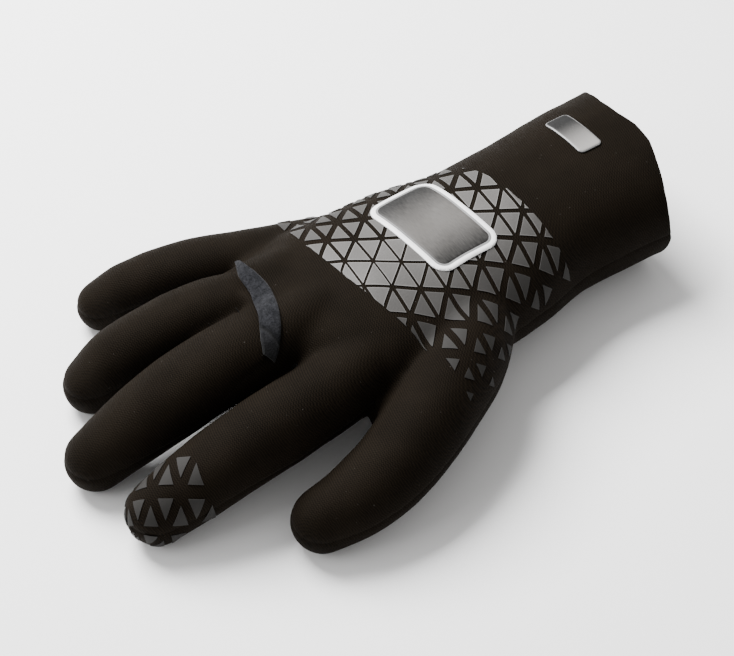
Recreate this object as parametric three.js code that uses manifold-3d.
// Diving glove for the right hand, cut from foam rubber sheet, lying on its palm with the fingers
// a little bent. +X runs from the fingertips to the wrist, -Y is the thumb's side and +Z is the
// back of the hand. Lengths are millimetres.
import * as THREE from 'three';
import { mergeVertices } from 'three/addons/utils/BufferGeometryUtils.js';
import Module from 'manifold-3d';

const wasm = await Module();
wasm.setup();

// Driving dimensions of the hand and the cuff
const HAND_LENGTH = 85; // knuckle line to wrist
const HAND_WIDTH = 97; // across the knuckles
const HAND_DEPTH = 54.5; // palm to back at the heel of the hand
const CUFF_LENGTH = 64.5; // wrist to the middle of the cut edge
const CUFF_WIDTH = 82;
const CUFF_DEPTH = 55;
const CUFF_CUT_ANGLE = 13; // degrees, longer on the little finger's side
const CUFF_CUT_LEAN = 8; // degrees, longer on the back of the hand
const PALM_ARCH = 17; // lift of the palm under the knuckles
const FINGER_ARCH = 24; // lift of the bent fingers above the surface

// Driving dimensions of the fingers, each length from its root to its tip
const THUMB_LENGTH = 125.5;
const THUMB_WIDTH = 36;
const THUMB_DEPTH = 34;
const INDEX_LENGTH = 129.5;
const INDEX_WIDTH = 31.6;
const INDEX_DEPTH = 30;
const MIDDLE_LENGTH = 133;
const MIDDLE_WIDTH = 31.4;
const MIDDLE_DEPTH = 30;
const RING_LENGTH = 116.5;
const RING_WIDTH = 29.6;
const RING_DEPTH = 29;
const LITTLE_LENGTH = 116;
const LITTLE_WIDTH = 26.6;
const LITTLE_DEPTH = 26;
const THUMB_WEB_LENGTH = 42; // how far the crotch of thumb and index finger is filled
const THUMB_WEB_WIDTH = 18;
const THUMB_WEB_DEPTH = 22;

// Driving dimensions of the sheet, the tape and the two printed plates
const WALL = 3; // foam rubber sheet with its fabric
const SEAM_GAP = 0.3; // between the glued edges of two panels
const SEAT_GAP = 0.3; // between a panel and what is glued on it
const TAPE_WIDTH = 8.5;
const TAPE_THICKNESS = 1.4;
const TAPE_BOW = 5.4; // how far the tape bows from the line between its two webs
const EMBLEM_LENGTH = 50; // across the hand
const EMBLEM_WIDTH = 33; // along the hand
const EMBLEM_CORNER = 7;
const EMBLEM_THICKNESS = 0.9;
const BADGE_LENGTH = 26; // round the cuff
const BADGE_WIDTH = 12.5; // along the cuff
const BADGE_CORNER = 2.2;
const BADGE_THICKNESS = 0.8;
const BADGE_SETBACK = 22; // from the middle of the badge to the cut edge

const REST = 0.95; // height of a resting section's centre, in half depths: the fabric is pressed flat
const HAND_SQUARENESS = 2.3; // exponent of the hand's rounded section
const FINGER_SQUARENESS = 2;
const HAND_FACETS = 24;
const FINGER_FACETS = 14;
const TAPE_FACETS = 10;
const SECTION_STEP = 13; // between two sections of a loft
const SEAM_CELL = 16; // of the grid that carries the seam's height
const SEAM_REACH = 6; // how softly the seam's height passes from one finger to the next
const MARGIN = 12; // that cutting shapes stand past the glove

// Turns rows of numbers into records with the named columns.
const table = (columns, rows) =>
  rows.map((row) => Object.fromEntries(columns.map((column, i) => [column, row[i]])));

// Sections of the hand, as shares: along of the hand's length from the knuckle line, across and
// width of its width, depth of its depth, lift of the palm's arch.
const HAND_SECTIONS = table(['along', 'across', 'lift', 'width', 'depth'], [
  [-0.47, 0.165, 1.45, 0.557, 0.477],
  [-0.18, 0.041, 1.05, 0.928, 0.624],
  [0.0, 0.034, 0.82, 0.966, 0.734],
  [0.24, 0.012, 0.48, 1.0, 0.844],
  [0.53, 0.01, 0.2, 0.968, 0.932],
  [0.82, -0.01, 0.03, 0.88, 0.998],
]);

// Sections of the cuff, as shares: along of the cuff's length from the wrist, across and width of
// its width, depth of its depth. The last one lies past the cut edge.
const CUFF_SECTIONS = table(['along', 'across', 'lift', 'width', 'depth'], [
  [0.15, 0.008, 0.0, 0.975, 0.989],
  [0.6, -0.004, 0.0, 0.995, 1.016],
  [1.0, -0.028, 0.0, 1.035, 1.025],
  [1.4, -0.05, 0.0, 1.08, 1.03],
]);

// Each finger's root, as shares of the hand's length and width, and its sections, as shares: along
// and splay of its length, lift of the fingers' arch, width and depth of its own. The last section
// is the middle of the round tip.
const FINGER_COLUMNS = ['along', 'splay', 'lift', 'width', 'depth'];
const FINGERS = {
  thumb: {
    root: { along: 0.54, across: -0.258 },
    length: THUMB_LENGTH, width: THUMB_WIDTH, depth: THUMB_DEPTH,
    sections: table(FINGER_COLUMNS, [
      [0.0, 0.0, 0.535, 0.944, 1.0],
      [0.197, -0.157, 0.496, 1.017, 1.06],
      [0.413, -0.266, 0.452, 1.0, 1.0],
      [0.604, -0.332, 0.283, 0.933, 0.94],
      [0.78, -0.345, 0.113, 0.85, 0.853],
      [0.898, -0.323, 0.0, 0.717, 0.765],
    ]),
  },
  index: {
    root: { along: 0.0, across: -0.227 },
    length: INDEX_LENGTH, width: INDEX_WIDTH, depth: INDEX_DEPTH,
    sections: table(FINGER_COLUMNS, [
      [0.0, 0.0, 0.76, 0.98, 1.03],
      [0.267, -0.049, 0.77, 1.0, 1.0],
      [0.534, -0.048, 0.65, 1.03, 1.0],
      [0.763, -0.023, 0.3, 0.955, 0.94],
      [0.9, 0.0, 0.0, 0.816, 0.867],
    ]),
  },
  middle: {
    root: { along: 0.0, across: 0.041 },
    length: MIDDLE_LENGTH, width: MIDDLE_WIDTH, depth: MIDDLE_DEPTH,
    sections: table(FINGER_COLUMNS, [
      [0.0, 0.0, 0.846, 0.987, 1.033],
      [0.265, 0.0, 1.03, 1.006, 1.0],
      [0.53, 0.022, 0.94, 1.07, 1.0],
      [0.77, 0.062, 0.42, 0.975, 0.933],
      [0.905, 0.09, 0.0, 0.83, 0.85],
    ]),
  },
  ring: {
    root: { along: 0.06, across: 0.289 },
    length: RING_LENGTH, width: RING_WIDTH, depth: RING_DEPTH,
    sections: table(FINGER_COLUMNS, [
      [0.0, 0.0, 0.823, 1.0, 1.034],
      [0.306, 0.018, 0.925, 1.0, 1.0],
      [0.58, 0.1, 0.779, 0.966, 0.966],
      [0.79, 0.162, 0.4, 0.95, 0.92],
      [0.893, 0.198, 0.01, 0.85, 0.82],
    ]),
  },
  little: {
    root: { along: 0.4, across: 0.36 },
    length: LITTLE_LENGTH, width: LITTLE_WIDTH, depth: LITTLE_DEPTH,
    sections: table(FINGER_COLUMNS, [
      [0.0, 0.0, 0.42, 0.9, 1.0],
      [0.172, 0.083, 0.569, 0.96, 1.0],
      [0.426, 0.168, 0.673, 1.0, 1.0],
      [0.64, 0.282, 0.63, 0.98, 0.96],
      [0.815, 0.391, 0.295, 0.925, 0.9],
      [0.9, 0.447, 0.0, 0.805, 0.81],
    ]),
  },
};

// The web of sheet in the crotch of thumb and index finger, as shares in the way of a finger's.
const THUMB_WEB = {
  root: { along: 0.2, across: -0.28 },
  length: THUMB_WEB_LENGTH, width: THUMB_WEB_WIDTH, depth: THUMB_WEB_DEPTH,
  sections: table(FINGER_COLUMNS, [
    [0.0, 0.0, 0.55, 1.0, 1.0],
    [0.5, -0.22, 0.62, 0.9, 1.0],
    [0.88, -0.42, 0.6, 0.62, 0.8],
  ]),
};

// Where the webs lie on each side of the two middle fingers, as shares of their length.
const LITTLE_WEB_SHARE = 0.28;
const INDEX_WEB_SHARE = 0.4;

// The tape's route, as shares: across from the little finger's web to the index finger's, bow of
// the tape's bow.
const TAPE_ROUTE = table(['across', 'bow'], [
  [0.04, 0.0],
  [0.2, 0.15],
  [0.38, 0.88],
  [0.56, 1.0],
  [0.73, 0.85],
  [0.86, 0.5],
  [0.97, 0.0],
]);

// Places of the two plates: the emblem's as shares of the hand's length and width, the badge's of
// the cuff's width. Each turn is in degrees from straight across.
const EMBLEM_PLACE = { along: 0.53, across: 0.055, turn: 2 };
const BADGE_PLACE = { across: 0.12, turn: 4 };

// Work out the sections in millimetres
const centreHeight = (halfDepth, rise) => REST * halfDepth + rise;

const handRow = (section) => {
  const halfDepth = (section.depth * HAND_DEPTH) / 2;
  return {
    x: section.along * HAND_LENGTH,
    y: section.across * HAND_WIDTH,
    z: centreHeight(halfDepth, section.lift * PALM_ARCH),
    halfWidth: (section.width * HAND_WIDTH) / 2,
    halfDepth,
  };
};

const cuffRow = (section) => {
  const halfDepth = (section.depth * CUFF_DEPTH) / 2;
  return {
    x: HAND_LENGTH + section.along * CUFF_LENGTH,
    y: section.across * CUFF_WIDTH,
    z: centreHeight(halfDepth, section.lift * PALM_ARCH),
    halfWidth: (section.width * CUFF_WIDTH) / 2,
    halfDepth,
  };
};

const fingerRows = ({ root, length, width, depth, sections }) =>
  sections.map((section) => {
    const halfDepth = (section.depth * depth) / 2;
    return {
      x: root.along * HAND_LENGTH - section.along * length,
      y: root.across * HAND_WIDTH + section.splay * length,
      z: centreHeight(halfDepth, section.lift * FINGER_ARCH),
      halfWidth: (section.width * width) / 2,
      halfDepth,
    };
  });

// Rows between the given ones, on smooth cubic curves through all their values.
function refine(rows, step) {
  const keys = Object.keys(rows[0]);
  const reach = [0];
  for (let i = 1; i < rows.length; i += 1) {
    const [from, to] = [rows[i - 1], rows[i]];
    reach.push(reach[i - 1] + Math.hypot(to.x - from.x, to.y - from.y, to.z - from.z));
  }
  const last = rows.length - 1;
  const slope = (key, i) => {
    const [before, after] = [Math.max(0, i - 1), Math.min(last, i + 1)];
    return (rows[after][key] - rows[before][key]) / (reach[after] - reach[before]);
  };
  const count = Math.max(last, Math.round(reach[last] / step));
  return Array.from({ length: count + 1 }, (_, n) => {
    const place = (reach[last] * n) / count;
    let i = 0;
    while (i < last - 1 && place > reach[i + 1]) i += 1;
    const span = reach[i + 1] - reach[i];
    const t = (place - reach[i]) / span;
    const start = 2 * t ** 3 - 3 * t ** 2 + 1;
    const leave = (t ** 3 - 2 * t ** 2 + t) * span;
    const arrive = (t ** 3 - t ** 2) * span;
    return Object.fromEntries(keys.map((key) => [key,
      start * rows[i][key] + (1 - start) * rows[i + 1][key]
        + leave * slope(key, i) + arrive * slope(key, i + 1)]));
  });
}

const handSections = refine([...HAND_SECTIONS.map(handRow), ...CUFF_SECTIONS.map(cuffRow)], SECTION_STEP);
const fingerSections = Object.fromEntries(
  Object.entries(FINGERS).map(([name, finger]) => [name, refine(fingerRows(finger), SECTION_STEP)]));
const webSections = refine(fingerRows(THUMB_WEB), SECTION_STEP);

const UP = new THREE.Vector3(0, 0, 1);

// One ring of points round a section, which stands square to the direction of the loft.
function ringPoints(centre, direction, halfWidth, halfDepth, squareness, facets) {
  const side = new THREE.Vector3().crossVectors(UP, direction).normalize();
  const up = new THREE.Vector3().crossVectors(direction, side);
  const round = (value) => Math.sign(value) * Math.abs(value) ** (2 / squareness);
  return Array.from({ length: facets }, (_, n) => {
    const angle = (2 * Math.PI * (n + 0.5)) / facets;
    return centre.clone()
      .addScaledVector(side, halfWidth * round(Math.cos(angle)))
      .addScaledVector(up, halfDepth * round(Math.sin(angle)));
  });
}

// A closed body through rings of equal count, whose ends are fans from a point each.
function skinRings(rings, startPoint, endPoint) {
  const facets = rings[0].length;
  const positions = [];
  const face = (...points) => points.forEach((point) => positions.push(point.x, point.y, point.z));
  const lastRing = rings[rings.length - 1];
  for (let n = 0; n < facets; n += 1) {
    const next = (n + 1) % facets;
    face(startPoint, rings[0][next], rings[0][n]);
    face(endPoint, lastRing[n], lastRing[next]);
    for (let i = 0; i + 1 < rings.length; i += 1) {
      face(rings[i][n], rings[i][next], rings[i + 1][next]);
      face(rings[i][n], rings[i + 1][next], rings[i + 1][n]);
    }
  }
  const geometry = new THREE.BufferGeometry();
  geometry.setAttribute('position', new THREE.Float32BufferAttribute(positions, 3));
  return geometry;
}

// Makes a solid of a closed geometry, for joins and cuts.
function solidOf(geometry) {
  const bare = geometry.clone();
  bare.deleteAttribute('normal');
  bare.deleteAttribute('uv');
  const merged = mergeVertices(bare, 1e-4);
  return new wasm.Manifold(new wasm.Mesh({
    numProp: 3,
    vertProperties: new Float32Array(merged.attributes.position.array),
    triVerts: new Uint32Array(merged.index.array),
  }));
}

function geometryOf(solid) {
  const mesh = solid.getMesh();
  const geometry = new THREE.BufferGeometry();
  geometry.setAttribute('position', new THREE.BufferAttribute(mesh.vertProperties, 3));
  geometry.setIndex(new THREE.BufferAttribute(mesh.triVerts, 1));
  const flat = geometry.toNonIndexed();
  flat.computeVertexNormals();
  return flat;
}

// The hand with its cuff, grown all round by an offset.
function handLoft(offset) {
  const along = new THREE.Vector3(1, 0, 0);
  const rings = handSections.map((row) => ringPoints(
    new THREE.Vector3(row.x, row.y, row.z), along,
    row.halfWidth + offset, row.halfDepth + offset, HAND_SQUARENESS, HAND_FACETS));
  const [start, end] = [handSections[0], handSections[handSections.length - 1]]
    .map((row) => new THREE.Vector3(row.x, row.y, row.z));
  return solidOf(skinRings(rings, start, end));
}

// One finger with its round tip, grown all round by an offset.
function fingerLoft(rows, offset) {
  const centres = rows.map((row) => new THREE.Vector3(row.x, row.y, row.z));
  const last = rows.length - 1;
  const directions = centres.map((_, i) => new THREE.Vector3()
    .subVectors(centres[Math.min(last, i + 1)], centres[Math.max(0, i - 1)]).normalize());
  const rings = rows.map((row, i) => ringPoints(centres[i], directions[i],
    row.halfWidth + offset, row.halfDepth + offset, FINGER_SQUARENESS, FINGER_FACETS));
  const [tip, way] = [rows[last], directions[last]];
  const radius = tip.halfWidth + offset;
  for (const degrees of [28, 54, 76]) {
    const angle = THREE.MathUtils.degToRad(degrees);
    const centre = centres[last].clone().addScaledVector(way, radius * Math.sin(angle));
    rings.push(ringPoints(centre, way, radius * Math.cos(angle),
      (tip.halfDepth + offset) * Math.cos(angle), FINGER_SQUARENESS, FINGER_FACETS));
  }
  return solidOf(skinRings(rings, centres[0], centres[last].clone().addScaledVector(way, radius)));
}

// The whole glove's outside, grown by an offset: the fingers joined to the hand.
const skin = (offset) => [...Object.values(fingerSections), webSections]
  .reduce((body, rows) => body.add(fingerLoft(rows, offset)), handLoft(offset));

// A block over everything, from a given height up.
const reachX = HAND_LENGTH + CUFF_LENGTH + INDEX_LENGTH + MIDDLE_LENGTH;
const reachY = HAND_WIDTH + THUMB_LENGTH + LITTLE_LENGTH;
const reachZ = 2 * (HAND_DEPTH + CUFF_DEPTH + PALM_ARCH + FINGER_ARCH);
function blockAbove(height) {
  const geometry = new THREE.BoxGeometry(2 * reachX, 2 * reachY, reachZ);
  geometry.translate(0, 0, height + reachZ / 2);
  return solidOf(geometry);
}

// A plan outline as an upright prism through the whole glove.
function prism(outline) {
  const geometry = new THREE.ExtrudeGeometry(outline, { depth: 2 * reachZ, bevelEnabled: false });
  geometry.translate(0, 0, -reachZ);
  return solidOf(geometry);
}

// The side seam runs at the middle height of the hand and of each finger. Between them its height
// passes smoothly from one to the next.
const seamMarks = [
  ...handSections.flatMap((row) => [-1, 1].map((side) =>
    ({ x: row.x, y: row.y + side * row.halfWidth, z: row.z }))),
  ...Object.values(fingerSections).flat(),
];
function seamHeight(x, y) {
  let [total, sum] = [0, 0];
  for (const mark of seamMarks) {
    const weight = 1 / ((mark.x - x) ** 2 + (mark.y - y) ** 2 + SEAM_REACH ** 2) ** 2;
    total += weight;
    sum += weight * mark.z;
  }
  return sum / total;
}

// Everything under the seam, which is moved up or down by an offset.
function underSeam(offset) {
  const xs = seamMarks.map((mark) => mark.x);
  const ys = seamMarks.map((mark) => mark.y);
  const margin = THUMB_WIDTH + MARGIN;
  const [left, front] = [Math.min(...xs) - margin, Math.min(...ys) - margin];
  const columns = Math.ceil((Math.max(...xs) + margin - left) / SEAM_CELL);
  const rows = Math.ceil((Math.max(...ys) + margin - front) / SEAM_CELL);
  const right = left + columns * SEAM_CELL;
  const rings = Array.from({ length: rows + 1 }, (_, j) => {
    const y = front + j * SEAM_CELL;
    const top = Array.from({ length: columns + 1 }, (__, i) => {
      const x = left + i * SEAM_CELL;
      return new THREE.Vector3(x, y, seamHeight(x, y) + offset);
    });
    return [...top, new THREE.Vector3(right, y, -reachZ), new THREE.Vector3(left, y, -reachZ)];
  });
  const [start, end] = [front, front + rows * SEAM_CELL]
    .map((y) => new THREE.Vector3((left + right) / 2, y, -reachZ / 2));
  return solidOf(skinRings(rings, start, end));
}

// The section of a finger at a given x, or the nearest one past its ends.
function rowAt(rows, x) {
  const next = rows.findIndex((row) => row.x <= x);
  if (next < 1) return rows[next === 0 ? 0 : rows.length - 1];
  const [from, to] = [rows[next - 1], rows[next]];
  const share = (from.x - x) / (from.x - to.x);
  return Object.fromEntries(Object.keys(from).map((key) =>
    [key, THREE.MathUtils.lerp(from[key], to[key], share)]));
}

// A place on the line that parts two neighbouring fingers, halfway between their facing sides.
function parting(first, second, share) {
  const x = FINGERS[first].root.along * HAND_LENGTH - share * FINGERS[first].length;
  const [row, other] = [rowAt(fingerSections[first], x), rowAt(fingerSections[second], x)];
  const side = Math.sign(other.y - row.y);
  return new THREE.Vector2(x, (row.y + side * row.halfWidth + other.y - side * other.halfWidth) / 2);
}

// The tape's middle line in plan, from the little finger's web to the index finger's.
const littleWeb = parting('ring', 'little', LITTLE_WEB_SHARE);
const indexWeb = parting('middle', 'index', INDEX_WEB_SHARE);
const chord = new THREE.Vector2().subVectors(indexWeb, littleWeb);
const bowWay = new THREE.Vector2(-chord.y, chord.x).normalize();
const tapeCurve = new THREE.SplineCurve(TAPE_ROUTE.map(({ across, bow }) => littleWeb.clone()
  .addScaledVector(chord, across).addScaledVector(bowWay, bow * TAPE_BOW)));
const tapeLine = tapeCurve.getSpacedPoints(TAPE_FACETS);

// The tape's band: its middle line set off to both sides.
function bandOutline(line, width) {
  const edge = (side) => line.map((point, i) => {
    const way = new THREE.Vector2().subVectors(
      line[Math.min(line.length - 1, i + 1)], line[Math.max(0, i - 1)]).normalize();
    return new THREE.Vector2(point.x - way.y * side * (width / 2), point.y + way.x * side * (width / 2));
  });
  return new THREE.Shape([...edge(1), ...edge(-1).reverse()]);
}

// The plan area of the two middle fingers past the tape's middle line.
function middleFingersArea() {
  const past = -(MIDDLE_LENGTH + THUMB_LENGTH);
  const shares = [0.6, 0.8, 1.0];
  const ringSide = shares.map((share) => parting('ring', 'little', share));
  const indexSide = shares.map((share) => parting('middle', 'index', share));
  return [
    ...tapeLine,
    ...indexSide,
    new THREE.Vector2(past, indexSide[2].y),
    new THREE.Vector2(past, ringSide[2].y),
    ...ringSide.reverse(),
  ];
}

// A clockwise outline grown by an offset: each corner moves along the middle of its two sides.
function grown(outline, offset) {
  const count = outline.length;
  return new THREE.Shape(outline.map((point, i) => {
    const [before, after] = [outline[(i + count - 1) % count], outline[(i + 1) % count]];
    const normals = [[before, point], [point, after]].map(([from, to]) => {
      const way = new THREE.Vector2().subVectors(to, from).normalize();
      return new THREE.Vector2(-way.y, way.x);
    });
    const corner = normals[0].clone().add(normals[1]);
    return point.clone().addScaledVector(corner, offset / corner.dot(normals[0]));
  }));
}

// A plate's plan outline with round corners, long side along Y, turned and placed.
function plateOutline(length, width, corner, place) {
  const [halfX, halfY] = [width / 2, length / 2];
  const round = new THREE.Shape();
  round.moveTo(-halfX + corner, -halfY);
  round.lineTo(halfX - corner, -halfY);
  round.absarc(halfX - corner, -halfY + corner, corner, -Math.PI / 2, 0);
  round.lineTo(halfX, halfY - corner);
  round.absarc(halfX - corner, halfY - corner, corner, 0, Math.PI / 2);
  round.lineTo(-halfX + corner, halfY);
  round.absarc(-halfX + corner, halfY - corner, corner, Math.PI / 2, Math.PI);
  round.lineTo(-halfX, -halfY + corner);
  round.absarc(-halfX + corner, -halfY + corner, corner, Math.PI, 1.5 * Math.PI);
  const turn = THREE.MathUtils.degToRad(place.turn);
  return new THREE.Shape(round.getPoints(4).map((point) =>
    point.clone().rotateAround(new THREE.Vector2(), -turn).add(new THREE.Vector2(place.x, place.y))));
}

// The sheet: the outside less the hollow, which the hand enters at the slanted cut of the cuff
const outside = skin(0).intersect(blockAbove(0));
const hollow = skin(-WALL).intersect(blockAbove(WALL));
const cuffEnd = HAND_LENGTH + CUFF_LENGTH;
const cutBlock = new THREE.BoxGeometry(2 * reachX, 4 * reachY, 2 * reachZ);
cutBlock.translate(reachX, 0, 0);
cutBlock.rotateY(THREE.MathUtils.degToRad(CUFF_CUT_LEAN));
cutBlock.rotateZ(-THREE.MathUtils.degToRad(CUFF_CUT_ANGLE));
cutBlock.translate(cuffEnd, 0, CUFF_DEPTH / 2);
const sheet = outside.subtract(hollow).subtract(solidOf(cutBlock));

// The panels, parted by the side seam and by the tape's middle line
const palm = sheet.intersect(underSeam(-SEAM_GAP / 2));
const back = sheet.subtract(underSeam(SEAM_GAP / 2));
const fingerBacks = back.intersect(prism(grown(middleFingersArea(), -SEAM_GAP / 2)));
const handBack = back.subtract(prism(grown(middleFingersArea(), SEAM_GAP / 2)));

// What is glued on the back, as layers that follow its surface
const layer = (thickness) => skin(SEAT_GAP + thickness).subtract(skin(SEAT_GAP)).subtract(underSeam(0));
const tape = layer(TAPE_THICKNESS).intersect(prism(bandOutline(tapeLine, TAPE_WIDTH)));
const emblem = layer(EMBLEM_THICKNESS).intersect(prism(plateOutline(
  EMBLEM_LENGTH, EMBLEM_WIDTH, EMBLEM_CORNER, {
    x: EMBLEM_PLACE.along * HAND_LENGTH,
    y: EMBLEM_PLACE.across * HAND_WIDTH,
    turn: EMBLEM_PLACE.turn,
  })));
const badge = layer(BADGE_THICKNESS).intersect(prism(plateOutline(
  BADGE_LENGTH, BADGE_WIDTH, BADGE_CORNER, {
    x: cuffEnd - BADGE_SETBACK,
    y: BADGE_PLACE.across * CUFF_WIDTH,
    turn: BADGE_PLACE.turn,
  })));

const pieces = [
  ['palm_panel', palm, { color: 0x1a1817, roughness: 0.88, metalness: 0 }],
  ['back_panel', handBack, { color: 0x201d1c, roughness: 0.86, metalness: 0 }],
  ['finger_back_panel', fingerBacks, { color: 0x201d1c, roughness: 0.86, metalness: 0 }],
  ['knuckle_tape', tape, { color: 0x3c3f47, roughness: 0.9, metalness: 0 }],
  ['back_emblem', emblem, { color: 0x8c8a88, roughness: 0.4, metalness: 0 }],
  ['cuff_badge', badge, { color: 0x6f6d6b, roughness: 0.45, metalness: 0 }],
];

// The glove stands on z = 0 with the middle of its plan at the origin
const glove = new THREE.Group();
for (const [name, solid, look] of pieces) {
  const mesh = new THREE.Mesh(geometryOf(solid), new THREE.MeshStandardMaterial(look));
  mesh.name = name;
  glove.add(mesh);
}
const box = new THREE.Box3().setFromObject(glove);
glove.position.set(-(box.min.x + box.max.x) / 2, -(box.min.y + box.max.y) / 2, -box.min.z);

export default glove;
